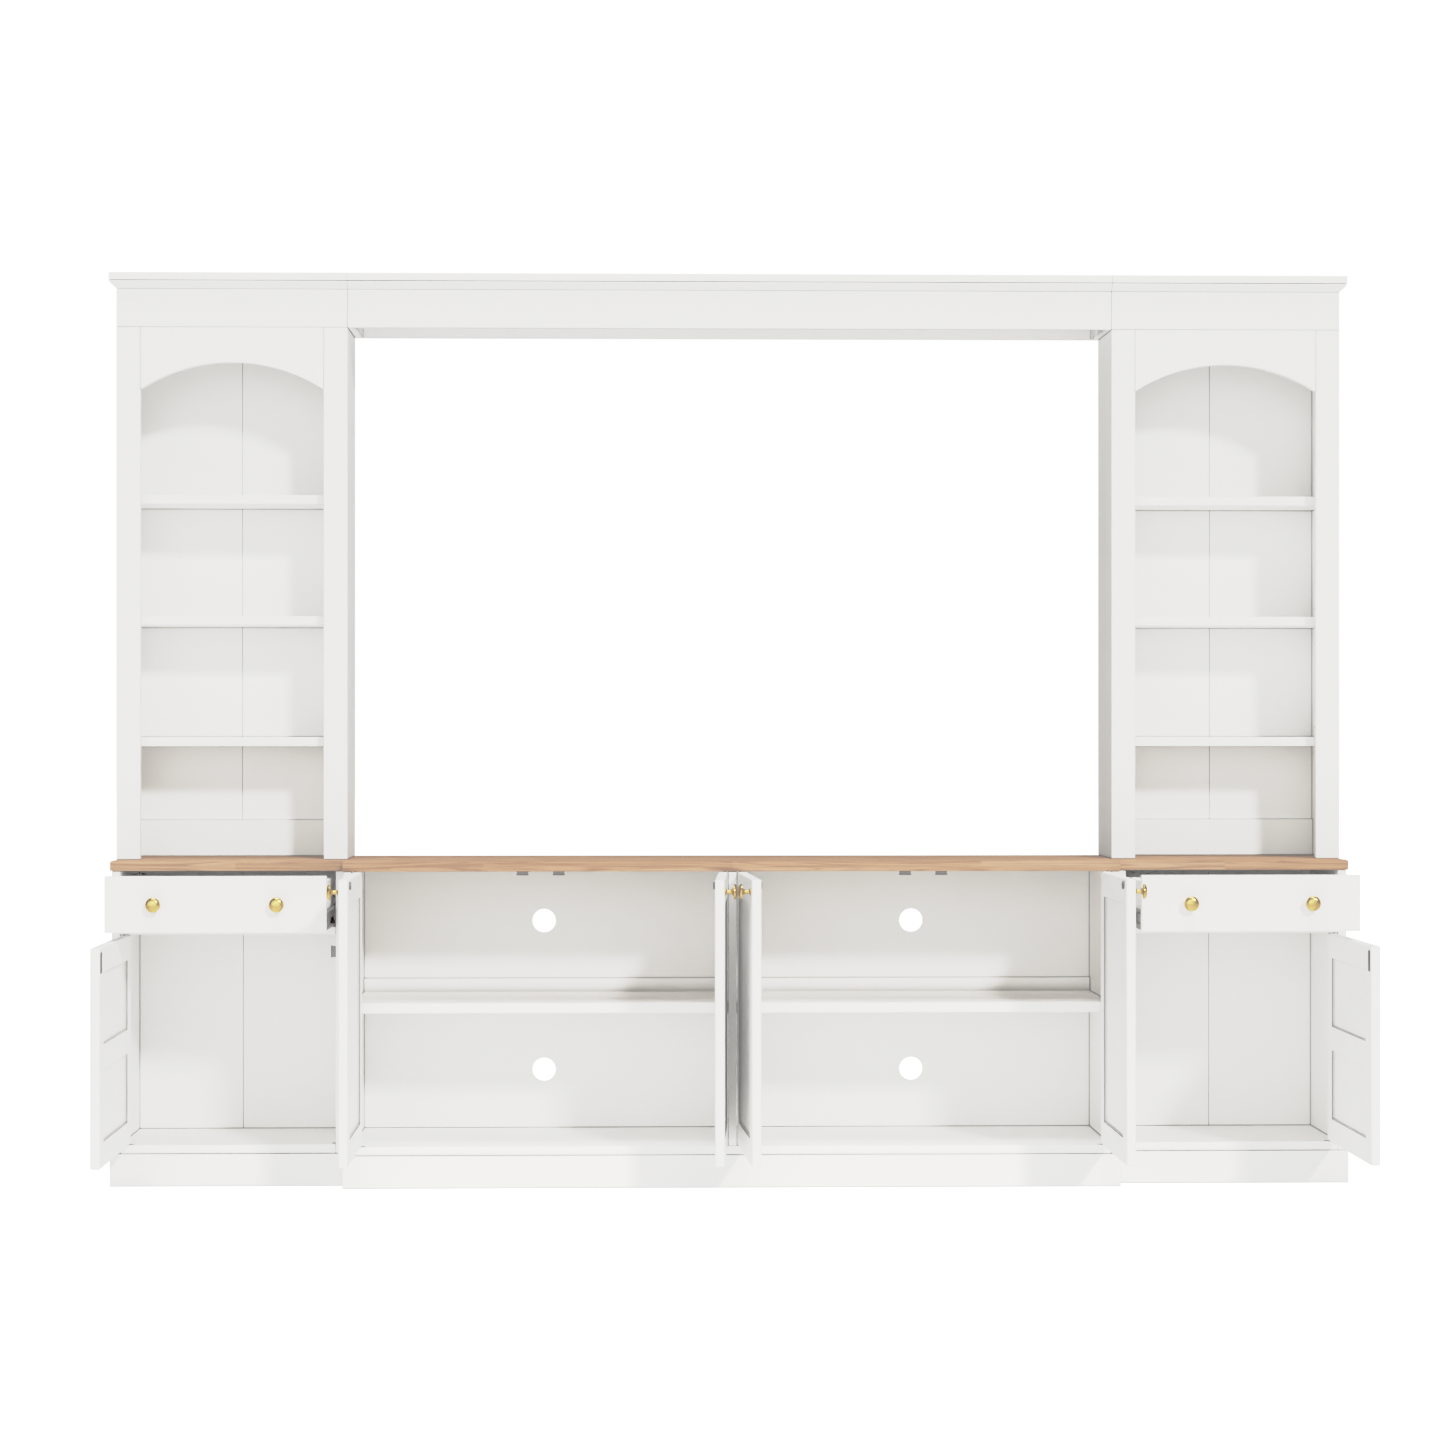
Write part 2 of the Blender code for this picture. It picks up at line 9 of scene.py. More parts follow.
import bmesh
import bpy
from mathutils import Matrix, Vector


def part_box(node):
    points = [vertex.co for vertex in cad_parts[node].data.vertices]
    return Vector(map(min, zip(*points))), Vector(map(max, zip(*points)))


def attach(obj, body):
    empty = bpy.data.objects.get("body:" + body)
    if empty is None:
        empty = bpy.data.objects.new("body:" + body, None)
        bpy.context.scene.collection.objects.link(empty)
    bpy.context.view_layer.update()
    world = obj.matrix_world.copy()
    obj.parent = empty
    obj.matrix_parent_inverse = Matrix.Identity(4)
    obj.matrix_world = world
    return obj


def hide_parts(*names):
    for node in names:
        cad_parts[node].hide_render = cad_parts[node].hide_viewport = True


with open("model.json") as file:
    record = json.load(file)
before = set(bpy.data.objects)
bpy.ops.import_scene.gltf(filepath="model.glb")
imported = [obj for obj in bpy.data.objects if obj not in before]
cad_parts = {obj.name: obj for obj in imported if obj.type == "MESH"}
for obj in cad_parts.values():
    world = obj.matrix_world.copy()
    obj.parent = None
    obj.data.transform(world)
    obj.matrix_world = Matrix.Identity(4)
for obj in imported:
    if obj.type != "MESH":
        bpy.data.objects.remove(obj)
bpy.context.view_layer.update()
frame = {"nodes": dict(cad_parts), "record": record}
nodes = frame["nodes"]

# The camera that the photograph was measured with

photo_side = 1445
focal_pixels = 3621.06
camera_place = (-0.23381, -8.03645, 1.00814)
camera_turn = 0.026992
sensor_width = 36.0

# Light and stage

key_direction = (-0.4385, 1.0, -0.584)
key_strength = 4.8
key_softness = math.radians(5.3)
key_colour = (1.0, 0.975, 0.91)
front_direction = (0.05, 1.0, -0.06)
front_strength = 1.3
front_softness = math.radians(30)
front_colour = (1.0, 0.985, 0.93)
top_direction = (0.0, 0.2, -1.0)
top_strength = 6.0
top_softness = math.radians(30)
top_colour = (1.0, 0.985, 0.95)
fill_direction = (0.32, 0.93, -0.14)
fill_strength = 1.6
fill_softness = math.radians(45)
fill_colour = (1.0, 0.985, 0.93)
pool_colour = (1.0, 0.985, 0.93)
pool_radius = 2.0
pool_place = (0.0, -1.7, -0.0002)
pool_radiance = 1.45
sky_strength = 0.24
backdrop_strength = 7.3
floor_reach = 40.0
floor_drop = 0.0004
floor_glow = 0.45

# Tone curve: pairs of light and how bright it shows, and the light that shows as white

tone_points = ((0.01, 0.06), (0.04, 0.13), (0.10, 0.17), (0.25, 0.22), (0.45, 0.30), (0.7, 0.41),
               (1.0, 0.54), (1.4, 0.675), (1.8, 0.745), (2.2, 0.782), (2.6, 0.803), (3.0, 0.82),
               (3.4, 0.84), (4.0, 0.875))
white_level = 7.0

# Painted shade in joint lines: how far from a crack the paint darkens, and how dark it gets

crack_shade_reach = 0.004
crack_shade_tone = 0.02
crack_shade_range = (0.42, 0.95)
crack_shade_samples = 8

# Light that the oak sheds on its neighbours: how much of its saturation and value it keeps

bounce_saturation = 0.5
bounce_value = 0.88

# Colours of the finishes, and how glossy the paint is

paint_tones = ((0.950, 0.946, 0.938, 1.0), (0.962, 0.958, 0.951, 1.0))
paint_speck = (0.956, 0.952, 0.944, 1.0)
paint_gloss = 0.05
oak_light = (0.440, 0.282, 0.168, 1.0)
oak_warm = (0.238, 0.134, 0.074, 1.0)
oak_dark = (0.150, 0.080, 0.043, 1.0)
gold_tones = ((0.58, 0.40, 0.115, 1.0), (0.46, 0.305, 0.075, 1.0))
gold_edge = (0.86, 0.77, 0.42, 1.0)
steel_tones = ((0.30, 0.30, 0.29, 1.0), (0.22, 0.22, 0.215, 1.0))
dark_steel_tones = ((0.13, 0.13, 0.13, 1.0), (0.08, 0.08, 0.08, 1.0))
ferrite_levels = (0.16, 0.22)
# Dark greys of the painted groove shade on the drawers' slide members
groove_shade_levels = (0.030, 0.042)
floor_levels = (0.50, 0.52)

# Staves of the oak

stave_length = 0.54
stave_width = 0.062
stave_stagger = 0.37

# Shading of edges

weld_distance = 0.00001
round_angle = math.radians(35)

# Edges of sheet metal: how round its corners are, and how far its edges are eased

plate_corner = 0.0012
plate_easing = 0.0003
sheet_corner = 0.0030
magnet_corner = 0.0006
fine_easing = 0.0002

# Turned knobs

knob_sides = 48
screw_sides = 32
knob_projection = 0.026
knob_head_radius = 0.016
knob_neck_radius = 0.0042
knob_foot_radius = 0.0075
knob_foot_ease = 0.0004
knob_foot_rise = 0.0014
knob_foot_step = 0.0005
knob_throat = (0.0021, 0.0066)
knob_throat_step = 0.0012
knob_throat_power = 2.6
knob_flare = (0.0098, 0.0186)
knob_flare_power = 0.8
knob_dome_start = 0.0190
knob_dome_power = 0.62
throat_steps = 10
flare_steps = 14
dome_steps = 12

# Screws

screw_radius = 0.0034
screw_rise = 0.0013
screw_drive_share = 0.36

# Magnetic catches and the strikes that they hold

catch_width = 0.026
catch_depth = 0.014
catch_plate = 0.0022
catch_plate_lead = 0.0010
catch_flange = 0.012
catch_sheet = 0.0012
catch_gap = 0.0003
console_catch_rise = 0.0093
tower_catch_rise = 0.0121
tower_catch_drop = 0.029
round_strike_radius = 0.008
round_strike_rise = 0.0042
round_strike_from_edge = 0.038
round_strike_drop = 0.0135
tall_strike_width = 0.018
tall_strike_height = 0.043
tall_strike_sheet = 0.0013
tall_strike_from_edge = 0.0145
tall_strike_lift = 0.0065
strike_screw_share = 0.66
strike_screw_rise = 0.6

# How far a door's pivot pins stand out of its ends

pin_reach = 0.0075

# Small fittings

plug_radius = 0.0026
plug_rise = 0.0004
plug_from_back = 0.0156
plug_rises = (0.0217, 0.2106, 0.2898)
cap_radius = 0.006
cap_rise = 0.0006
cap_reaches = (0.211, 0.328)
cap_heights = (0.424, 0.220)
cap_sink = 0.006
slide_screw_shares = (0.16, 0.50, 0.84)
slide_sheet = 0.0012
slide_web_depth = 0.0112
slide_member_share = 0.93
# A dark loop of painted shade along the groove of each drawer's slide member
groove_shade_length = 0.127
groove_shade_radius = 0.012
groove_shade_stroke = 0.0032
groove_shade_rise = 0.0015
groove_shade_start = 0.006
foot_plate_width = 0.009
foot_plate_rise = 0.001
foot_plate_corner = 0.0020
foot_plate_span = (0.005, 0.022)
stop_plate_span = (0.0005, 0.009)
stop_plate_back = 0.013
nail_radius = 0.0022
nail_rise = 0.0004
nail_spacing = 0.16
nail_from_edge = 0.009
nail_sides = 12


# Helpers for objects and meshes

def add_object(name, data):
    """A new object of the scene."""
    made = bpy.data.objects.new(name, data)
    bpy.context.scene.collection.objects.link(made)
    return made


def finish_shape(name, shape, finish, body, place=None):
    """Put a shape into the scene as a piece that rides on a body."""
    bmesh.ops.recalc_face_normals(shape, faces=shape.faces)
    mesh = bpy.data.meshes.new(name)
    shape.to_mesh(mesh)
    shape.free()
    mesh.materials.append(finish)
    mesh.shade_smooth()
    mesh.set_sharp_from_angle(angle=round_angle)
    made = add_object(name, mesh)
    if place is not None:
        made.matrix_world = place
    bpy.context.view_layer.update()
    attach(made, body)
    return made


def add_turned(shape, profile, sides, place=Matrix.Identity(4)):
    """Add a solid turned round the Z axis of a place.

    A point of the profile is a radius and a height, and may have a third value: how far the radius
    swings in and out, four times in a turn.
    """
    rings = []
    for radius, height, *swing in profile:
        if radius == 0:
            rings.append([shape.verts.new(place @ Vector((0, 0, height)))])
            continue
        ring = []
        for side in range(sides):
            turn = 2 * math.pi * side / sides
            reach = radius + sum(swing) * math.cos(4 * turn)
            ring.append(shape.verts.new(place @ Vector((reach * math.cos(turn),
                                                        reach * math.sin(turn), height))))
        rings.append(ring)
    for lower, upper in zip(rings, rings[1:]):
        for side in range(sides):
            after = (side + 1) % sides
            corners = [lower[side % len(lower)], lower[after % len(lower)],
                       upper[after % len(upper)], upper[side % len(upper)]]
            shape.faces.new(list(dict.fromkeys(corners)))
    for ring, way in ((rings[0], -1), (rings[-1], 1)):
        if len(ring) > 1:
            shape.faces.new(ring[::way])


def add_plate(shape, low, high, corner, easing, place=Matrix.Identity(4), steps=5):
    """Add a plate between two corners, with round corners in X and Y and eased edges."""
    levels = [(low[2], easing), (low[2] + easing, 0.0), (high[2] - easing, 0.0), (high[2], easing)]
    rings = []
    for height, inset in levels:
        ring = []
        radius = corner - inset
        for quarter, (x, y) in enumerate(((high[0], high[1]), (low[0], high[1]),
                                          (low[0], low[1]), (high[0], low[1]))):
            centre = Vector((x - math.copysign(corner, x - (low[0] + high[0]) / 2),
                             y - math.copysign(corner, y - (low[1] + high[1]) / 2), height))
            for step in range(steps + 1):
                turn = math.pi / 2 * (quarter + step / steps)
                point = centre + Vector((radius * math.cos(turn), radius * math.sin(turn), 0))
                ring.append(shape.verts.new(place @ point))
        rings.append(ring)
    for lower, upper in zip(rings, rings[1:]):
        for side in range(len(lower)):
            after = (side + 1) % len(lower)
            shape.faces.new([lower[side], lower[after], upper[after], upper[side]])
    shape.faces.new(rings[0][::-1])
    shape.faces.new(rings[-1])


def add_screw(shape, place, radius=screw_radius, rise=screw_rise):
    """Add a domed screw head with a cross recess."""
    drive = radius * screw_drive_share
    profile = [(radius, -rise / 4), (radius, rise * 0.25), (radius * 0.93, rise * 0.62),
               (radius * 0.76, rise * 0.90), (radius * 0.60, rise),
               (drive, rise, drive * 0.42), (drive * 0.86, rise * 0.62, drive * 0.36),
               (drive * 0.34, rise * 0.10), (0.0, rise * 0.02)]
    add_turned(shape, profile, screw_sides, place)


def add_disc(shape, place, radius, rise, sides=screw_sides):
    """Add a low round plug with a softened rim."""
    profile = [(radius, -rise / 2), (radius, rise * 0.5), (radius * 0.9, rise), (0.0, rise)]
    add_turned(shape, profile, sides, place)


def add_loop(shape, length, radius, stroke, rise, place, steps=12):
    """Add a flat loop with round ends, whose length lies along the X axis of a place."""
    def outline(reach, height):
        """A ring of corners at a distance from the loop's middle line."""
        ring = []
        for end, start in ((length - radius, -math.pi / 2), (radius, math.pi / 2)):
            for step in range(steps + 1):
                turn = start + math.pi * step / steps
                ring.append(shape.verts.new(place @ Vector((end + reach * math.cos(turn),
                                                            reach * math.sin(turn), height))))
        return ring

    walls = [outline(radius, 0.0), outline(radius, rise), outline(radius - stroke, rise),
             outline(radius - stroke, 0.0)]
    for wall, after in zip(walls, walls[1:] + walls[:1]):
        for side in range(len(wall)):
            beside = (side + 1) % len(wall)
            shape.faces.new([wall[side], wall[beside], after[beside], after[side]])


# Helpers for materials

def node(tree, kind, sources=None, **settings):
    """A shader node with its settings, whose inputs take values or the outputs of other nodes."""
    made = tree.nodes.new(kind)
    for name, value in settings.items():
        setattr(made, name, value)
    for socket, source in (sources or {}).items():
        if isinstance(source, bpy.types.NodeSocket):
            tree.links.new(source, made.inputs[socket])
        else:
            made.inputs[socket].default_value = source
    return made


def new_material(name):
    """A material with its node tree and its Principled shader."""
    made = bpy.data.materials.new(name)
    made.use_nodes = True
    tree = made.node_tree
    return made, tree, tree.nodes["Principled BSDF"]


def stretched(tree, scale):
    """Coordinates of the piece itself, in metres, stretched."""
    place = node(tree, "ShaderNodeTexCoord")
    return node(tree, "ShaderNodeMapping",
                {"Vector": place.outputs["Object"], "Scale": scale}).outputs["Vector"]


def noise(tree, vector, scale, detail=2.0, roughness=0.5, distortion=0.0):
    """The grey value of a noise."""
    return node(tree, "ShaderNodeTexNoise", {"Vector": vector, "Scale": scale, "Detail": detail,
                "Roughness": roughness, "Distortion": distortion}).outputs["Fac"]


def span(tree, value, low, high, to_low=0.0, to_high=1.0):
    """A value moved from one range to another."""
    return node(tree, "ShaderNodeMapRange", {"Value": value, "From Min": low, "From Max": high,
                "To Min": to_low, "To Max": to_high}).outputs["Result"]


def maths(tree, operation, first, second=0.0):
    """The result of one sum on two values."""
    return node(tree, "ShaderNodeMath", {0: first, 1: second}, operation=operation).outputs["Value"]


def mixed(tree, share, first, second, blend="MIX"):
    """Two colours mixed by a share."""
    made = node(tree, "ShaderNodeMix", data_type="RGBA", blend_type=blend)
    for socket, source in ((0, share), (6, first), (7, second)):
        if isinstance(source, bpy.types.NodeSocket):
            tree.links.new(source, made.inputs[socket])
        else:
            made.inputs[socket].default_value = source
    return made.outputs[2]


def grey(level):
    """A neutral colour."""
    return (level, level, level, 1.0)


def bump(tree, shader, height, strength, distance):
    """Raise a shader's surface by a height."""
    made = node(tree, "ShaderNodeBump",
                {"Height": height, "Strength": strength, "Distance": distance})
    tree.links.new(made.outputs["Normal"], shader.inputs["Normal"])


def shade_in_cracks(tree, colour):
    """A colour with painted shade, darker in the cracks where boards meet and in inner corners."""
    crack_occlusion = node(tree, "ShaderNodeAmbientOcclusion", {"Distance": crack_shade_reach},
                   samples=crack_shade_samples)
    shade = span(tree, crack_occlusion.outputs["AO"], *crack_shade_range, crack_shade_tone, 1.0)
    shaded = node(tree, "ShaderNodeCombineColor", {0: shade, 1: shade, 2: shade}).outputs["Color"]
    return mixed(tree, 1.0, colour, shaded, "MULTIPLY")


# Materials

def make_white_paint():
    """Satin white paint on fibreboard, with a faint orange peel and a slight change of tone."""
    made, tree, shader = new_material("satin_white_paint")
    place = stretched(tree, (1.0, 1.0, 1.0))
    tone = span(tree, noise(tree, place, 2.6, 4.0), 0.3, 0.7)
    speck = span(tree, noise(tree, place, 180.0, 2.0), 0.35, 0.65, 0.0, 0.35)
    colour = mixed(tree, speck, mixed(tree, tone, *paint_tones), paint_speck)
    # Painted shade: the paint darkens in its cracks and inner corners, where shade falls
    tree.links.new(shade_in_cracks(tree, colour), shader.inputs["Base Color"])
    sheen = noise(tree, place, 14.0, 5.0, 0.6)
    tree.links.new(span(tree, sheen, 0.3, 0.7, 0.36, 0.46), shader.inputs["Roughness"])
    shader.inputs["Specular IOR Level"].default_value = paint_gloss
    bump(tree, shader, noise(tree, place, 620.0, 2.0), 0.05, 0.0003)
    return made


def make_oak():
    """Oak laminated from staves, with long grain, pores and a few knots."""
    made, tree, shader = new_material("matt_light_oak")
    plain = stretched(tree, (1.0, 1.0, 1.0))
    apart = node(tree, "ShaderNodeSeparateXYZ", {"Vector": plain})
    along, across, up = (apart.outputs[axis] for axis in "XYZ")
    depth = maths(tree, "ADD", across, maths(tree, "MULTIPLY", up, 0.9))
    flat = node(tree, "ShaderNodeCombineXYZ", {"X": along, "Y": depth, "Z": 0.0}).outputs["Vector"]
    staves = node(tree, "ShaderNodeTexBrick",
                  {"Vector": flat, "Color1": grey(0.0), "Color2": grey(1.0), "Mortar": grey(0.5),
                   "Scale": 1.0, "Mortar Size": 0.0, "Brick Width": stave_length,
                   "Row Height": stave_width}, offset=stave_stagger, squash=1.0)
    stave = node(tree, "ShaderNodeSeparateColor", {"Color": staves.outputs["Color"]}).outputs[0]
    shift = node(tree, "ShaderNodeCombineXYZ",
                 {"X": maths(tree, "MULTIPLY", stave, 7.3),
                  "Y": maths(tree, "MULTIPLY", stave, 3.1), "Z": 0.0}).outputs["Vector"]
    moved = node(tree, "ShaderNodeVectorMath", {0: plain, 1: shift},
                 operation="ADD").outputs["Vector"]

    def grain(scale, detail, roughness, distortion):
        """The noise of the staves at a scale along, across and up."""
        mapped = node(tree, "ShaderNodeMapping", {"Vector": moved, "Scale": scale})
        return noise(tree, mapped.outputs["Vector"], 1.0, detail, roughness, distortion)

    figure = grain((1.6, 22.0, 44.0), 2.0, 0.5, 1.1)
    rings = maths(tree, "FRACT", maths(tree, "MULTIPLY", figure, 7.0))
    rings = maths(tree, "ABSOLUTE", maths(tree, "SUBTRACT", rings, 0.5))
    lines = span(tree, rings, 0.24, 0.5)
    streaks = span(tree, grain((3.0, 150.0, 260.0), 4.0, 0.65, 0.2), 0.36, 0.64)
    pores = span(tree, grain((26.0, 1150.0, 1250.0), 2.0, 0.5, 0.0), 0.60, 0.70)
    knots = span(tree, grain((5.0, 34.0, 40.0), 2.0, 0.5, 0.6), 0.69, 0.78)

    colour = oak_light
    for mark, share, stain in ((lines, 0.85, oak_warm), (streaks, 0.55, oak_warm),
                               (pores, 0.30, oak_dark), (knots, 0.75, oak_dark)):
        colour = mixed(tree, maths(tree, "MULTIPLY", mark, share), colour, stain)
    bounced = node(tree, "ShaderNodeLightPath").outputs["Is Diffuse Ray"]
    for share, values, saturations in ((stave, (0.93, 1.05), (1.04, 0.95)),
                                       (bounced, (1.0, bounce_value), (1.0, bounce_saturation))):
        colour = node(tree, "ShaderNodeHueSaturation",
                      {"Color": colour, "Value": span(tree, share, 0.0, 1.0, *values),
                       "Saturation": span(tree, share, 0.0, 1.0, *saturations)}).outputs["Color"]
    tree.links.new(colour, shader.inputs["Base Color"])
    tree.links.new(span(tree, streaks, 0.0, 1.0, 0.50, 0.60), shader.inputs["Roughness"])
    shader.inputs["Specular IOR Level"].default_value = 0.0
    height = maths(tree, "SUBTRACT", maths(tree, "MULTIPLY", streaks, 0.4), pores)
    bump(tree, shader, height, 0.25, 0.0004)
    return made


def make_gold():
    """Brushed gold, with fine rings from the lathe."""
    made, tree, shader = new_material("brushed_gold_rings")
    place = stretched(tree, (1.0, 1.0, 1.0))
    apart = node(tree, "ShaderNodeSeparateXYZ", {"Vector": place})
    squares = [maths(tree, "MULTIPLY", apart.outputs[axis], apart.outputs[axis]) for axis in "XY"]
    radius = maths(tree, "SQRT", maths(tree, "ADD", squares[0], squares[1]))
    path = maths(tree, "ADD", radius, apart.outputs["Z"])
    lathe = node(tree, "ShaderNodeCombineXYZ",
                 {"X": maths(tree, "MULTIPLY", path, 2600.0), "Y": 0.0, "Z": 0.0}).outputs["Vector"]
    rings = noise(tree, lathe, 1.0, 3.0, 0.65)
    stain = span(tree, noise(tree, place, 120.0, 3.0), 0.3, 0.7)
    tree.links.new(mixed(tree, stain, *gold_tones), shader.inputs["Base Color"])
    shader.inputs["Metallic"].default_value = 1.0
    shader.inputs["Specular Tint"].default_value = gold_edge
    tree.links.new(span(tree, rings, 0.3, 0.7, 0.20, 0.32), shader.inputs["Roughness"])
    bump(tree, shader, rings, 0.16, 0.00012)
    return made


def make_steel(name, tones, low, high):
    """Plated sheet steel with faint drawn lines along its length."""
    made, tree, shader = new_material(name)
    drawn = noise(tree, stretched(tree, (900.0, 14.0, 900.0)), 1.0, 3.0)
    cloud = span(tree, noise(tree, stretched(tree, (1.0, 1.0, 1.0)), 90.0, 3.0), 0.35, 0.65)
    tree.links.new(mixed(tree, cloud, *tones), shader.inputs["Base Color"])
    shader.inputs["Metallic"].default_value = 1.0
    tree.links.new(span(tree, drawn, 0.3, 0.7, low, high), shader.inputs["Roughness"])
    bump(tree, shader, drawn, 0.10, 0.0001)
    return made


def make_grained(name, scale, levels, low, high, relief):
    """A grey finish with fine grains, such as a sintered magnet or dark painted groove shade."""
    made, tree, shader = new_material(name)
    place = stretched(tree, (1.0, 1.0, 1.0))
    grain = noise(tree, place, scale, 3.0)
    colour = mixed(tree, span(tree, grain, 0.35, 0.65), *(grey(level) for level in levels))
    tree.links.new(colour, shader.inputs["Base Color"])
    tree.links.new(span(tree, grain, 0.3, 0.7, low, high), shader.inputs["Roughness"])
    bump(tree, shader, grain, relief, 0.0001)
    return made


white_paint = make_white_paint()
oak = make_oak()
gold = make_gold()
steel = make_steel("plated_steel", steel_tones, 0.30, 0.44)
dark_steel = make_steel("darkened_steel", dark_steel_tones, 0.40, 0.55)
ferrite = make_grained("grey_ferrite", 900.0, ferrite_levels, 0.50, 0.64, 0.15)
# Dark finish of the painted groove shade on the slide members
groove_shade_finish = make_grained("painted_groove_shade", 700.0, groove_shade_levels, 0.42, 0.52, 0.10)
finishes = {"white_paint": white_paint, "oak": oak, "brushed_gold": gold, "slide_steel": steel}


# Carried-over pieces

def dress_nodes():
    """Give every node of the model its finish and rounded shading along its eased edges."""
    for subpart in frame["record"]["subparts"]:
        carried = nodes[subpart["node"]]
        carried.data.materials.clear()
        carried.data.materials.append(finishes[subpart["material_slot"]])
        joined = carried.modifiers.new("joined", "WELD")
        joined.merge_threshold = weld_distance
        rounded = carried.modifiers.new("rounded", "WEIGHTED_NORMAL")
        rounded.mode = "FACE_AREA"
        carried.data.shade_smooth()


def plate_slide_members():
    """Give the drawer's member of each slide, on the sides of its box, the finish of the rails."""
    for side in ("left", "right"):
        box = nodes[f"{side}_drawer_box"]
        box.data.materials.append(steel)
        low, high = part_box(box.name)
        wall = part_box(f"{side}_slide_rail_inner")
        member_depth = (wall[1].x - wall[0].x) * slide_member_share
        for face in box.data.polygons:
            if not low.x + member_depth <= face.center.x <= high.x - member_depth:
                face.material_index = 1


# Knobs

def knob_profile():
    """Radius and height of a knob, from its foot to the middle of its head."""
    profile = [(0.0, 0.0), (knob_foot_radius - knob_foot_ease, 0.0),
               (knob_foot_radius, knob_foot_ease), (knob_foot_radius, knob_foot_rise),
               (knob_foot_radius - knob_foot_step, knob_foot_rise + knob_foot_step)]
    throat_depth = knob_foot_radius - knob_throat_step - knob_neck_radius
    for step in range(throat_steps + 1):
        share = step / throat_steps
        profile.append((knob_neck_radius + throat_depth * (1 - share) ** knob_throat_power,
                        knob_throat[0] + (knob_throat[1] - knob_throat[0]) * share))
    flare_depth = knob_head_radius - knob_neck_radius
    for step in range(1, flare_steps + 1):
        turn = math.pi / 2 * step / flare_steps
        profile.append((knob_head_radius - flare_depth * math.cos(turn) ** knob_flare_power,
                        knob_flare[0] + (knob_flare[1] - knob_flare[0]) * math.sin(turn)))
    dome_rise = knob_projection - knob_dome_start
    for step in range(1, dome_steps + 1):
        turn = math.pi / 2 * step / dome_steps
        profile.append((knob_head_radius * math.cos(turn) ** knob_dome_power,
                        knob_dome_start + dome_rise * math.sin(turn)))
    profile[-1] = (0.0, knob_projection)
    return profile


def make_knobs():
    """Smooth turned knobs in place of the faceted ones."""
    knobs = [name for name in nodes if "_knob" in name]
    for name in knobs:
        body = next(body for body, members in frame["record"]["behaviour"]["bodies"].items()
                    if name in members)
        low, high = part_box(name)
        middle = (low + high) / 2
        reach = high - low
        if reach.y < min(reach.x, reach.z):
            outward = Vector((0, -1, 0))
            foot = Vector((middle.x, high.y, middle.z))
        else:
            outward = Vector((1, 0, 0)) if name.startswith(("console_door_2", "console_door_4")) \
                else Vector((-1, 0, 0))
            foot = Vector((low.x if outward.x > 0 else high.x, middle.y, middle.z))
        place = Matrix.Translation(foot) @ outward.to_track_quat("Z", "Y").to_matrix().to_4x4()
        shape = bmesh.new()
        add_turned(shape, knob_profile(), knob_sides)
        made = finish_shape(f"{name}_turned", shape, gold, body, place)
        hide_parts(name)


# Catches and strikes

def axes(place, x_way, y_way, z_way):
    """A frame at a place, from the ways of its axes."""
    turn = Matrix((x_way, y_way, z_way)).transposed().to_4x4()
    return Matrix.Translation(place) @ turn


def make_catch(name, place, rise):
    """A magnetic catch between two steel plates, whose mounting face is its frame's XY plane."""
    half = catch_width / 2
    plates = bmesh.new()
    for low, high in ((0.0, catch_plate), (rise - catch_plate, rise)):
        add_plate(plates, (-half, 0.0, low), (half, catch_depth, high), plate_corner,
                  plate_easing, place)
    flange_end = catch_depth + catch_flange
    add_plate(plates, (-half, catch_depth - catch_sheet, 0.0), (half, flange_end, catch_sheet),
              sheet_corner, plate_easing, place)
    for side in (-1, 1):
        seat = Vector((side * half / 2, catch_depth + catch_flange / 2, catch_sheet))
        add_screw(plates, place @ Matrix.Translation(seat), catch_width / 10)
    finish_shape(f"{name}_plates", plates, dark_steel, "root")
    magnet = bmesh.new()
    add_plate(magnet, (-half + catch_plate_lead, catch_plate_lead, catch_plate),
              (half - catch_plate_lead, catch_depth - catch_plate_lead, rise - catch_plate),
              magnet_corner, fine_easing, place)
    finish_shape(f"{name}_magnet", magnet, ferrite, "root")


def hinge_frame(name):
    """The frame of an open door's hinge at floor height, and the way that the shut door lies."""
    joint = next(joint for joint in frame["record"]["behaviour"]["joints"]
                 if joint["child"] == name)
    reach = -joint["axis"][2]
    swing = math.radians(-joint["range_deg"][0])
    foot = Vector((joint["pos_m"][0], joint["pos_m"][1], 0.0))
    return Matrix.Translation(foot) @ Matrix.Rotation(-reach * swing, 4, "Z"), reach


def extent(name, place):
    """A node's lowest and highest corners in a frame."""
    inverse = place.inverted()
    door = nodes[name]
    corners = [inverse @ door.matrix_world @ vertex.co for vertex in door.data.vertices]
    return [Vector([pick(corner[axis] for corner in corners) for axis in range(3)])
            for pick in (min, max)]


def strike_place(name, from_edge, drop):
    """A frame on the inner face of a door, looking into the cabinet."""
    place, reach = hinge_frame(name)
    low, high = extent(name, place)
    free_edge = high.x if reach > 0 else low.x
    seat = Vector((free_edge - reach * from_edge, high.y, high.z - pin_reach - drop))
    return place @ Matrix.Translation(seat) @ Matrix.Rotation(-math.pi / 2, 4, "X")


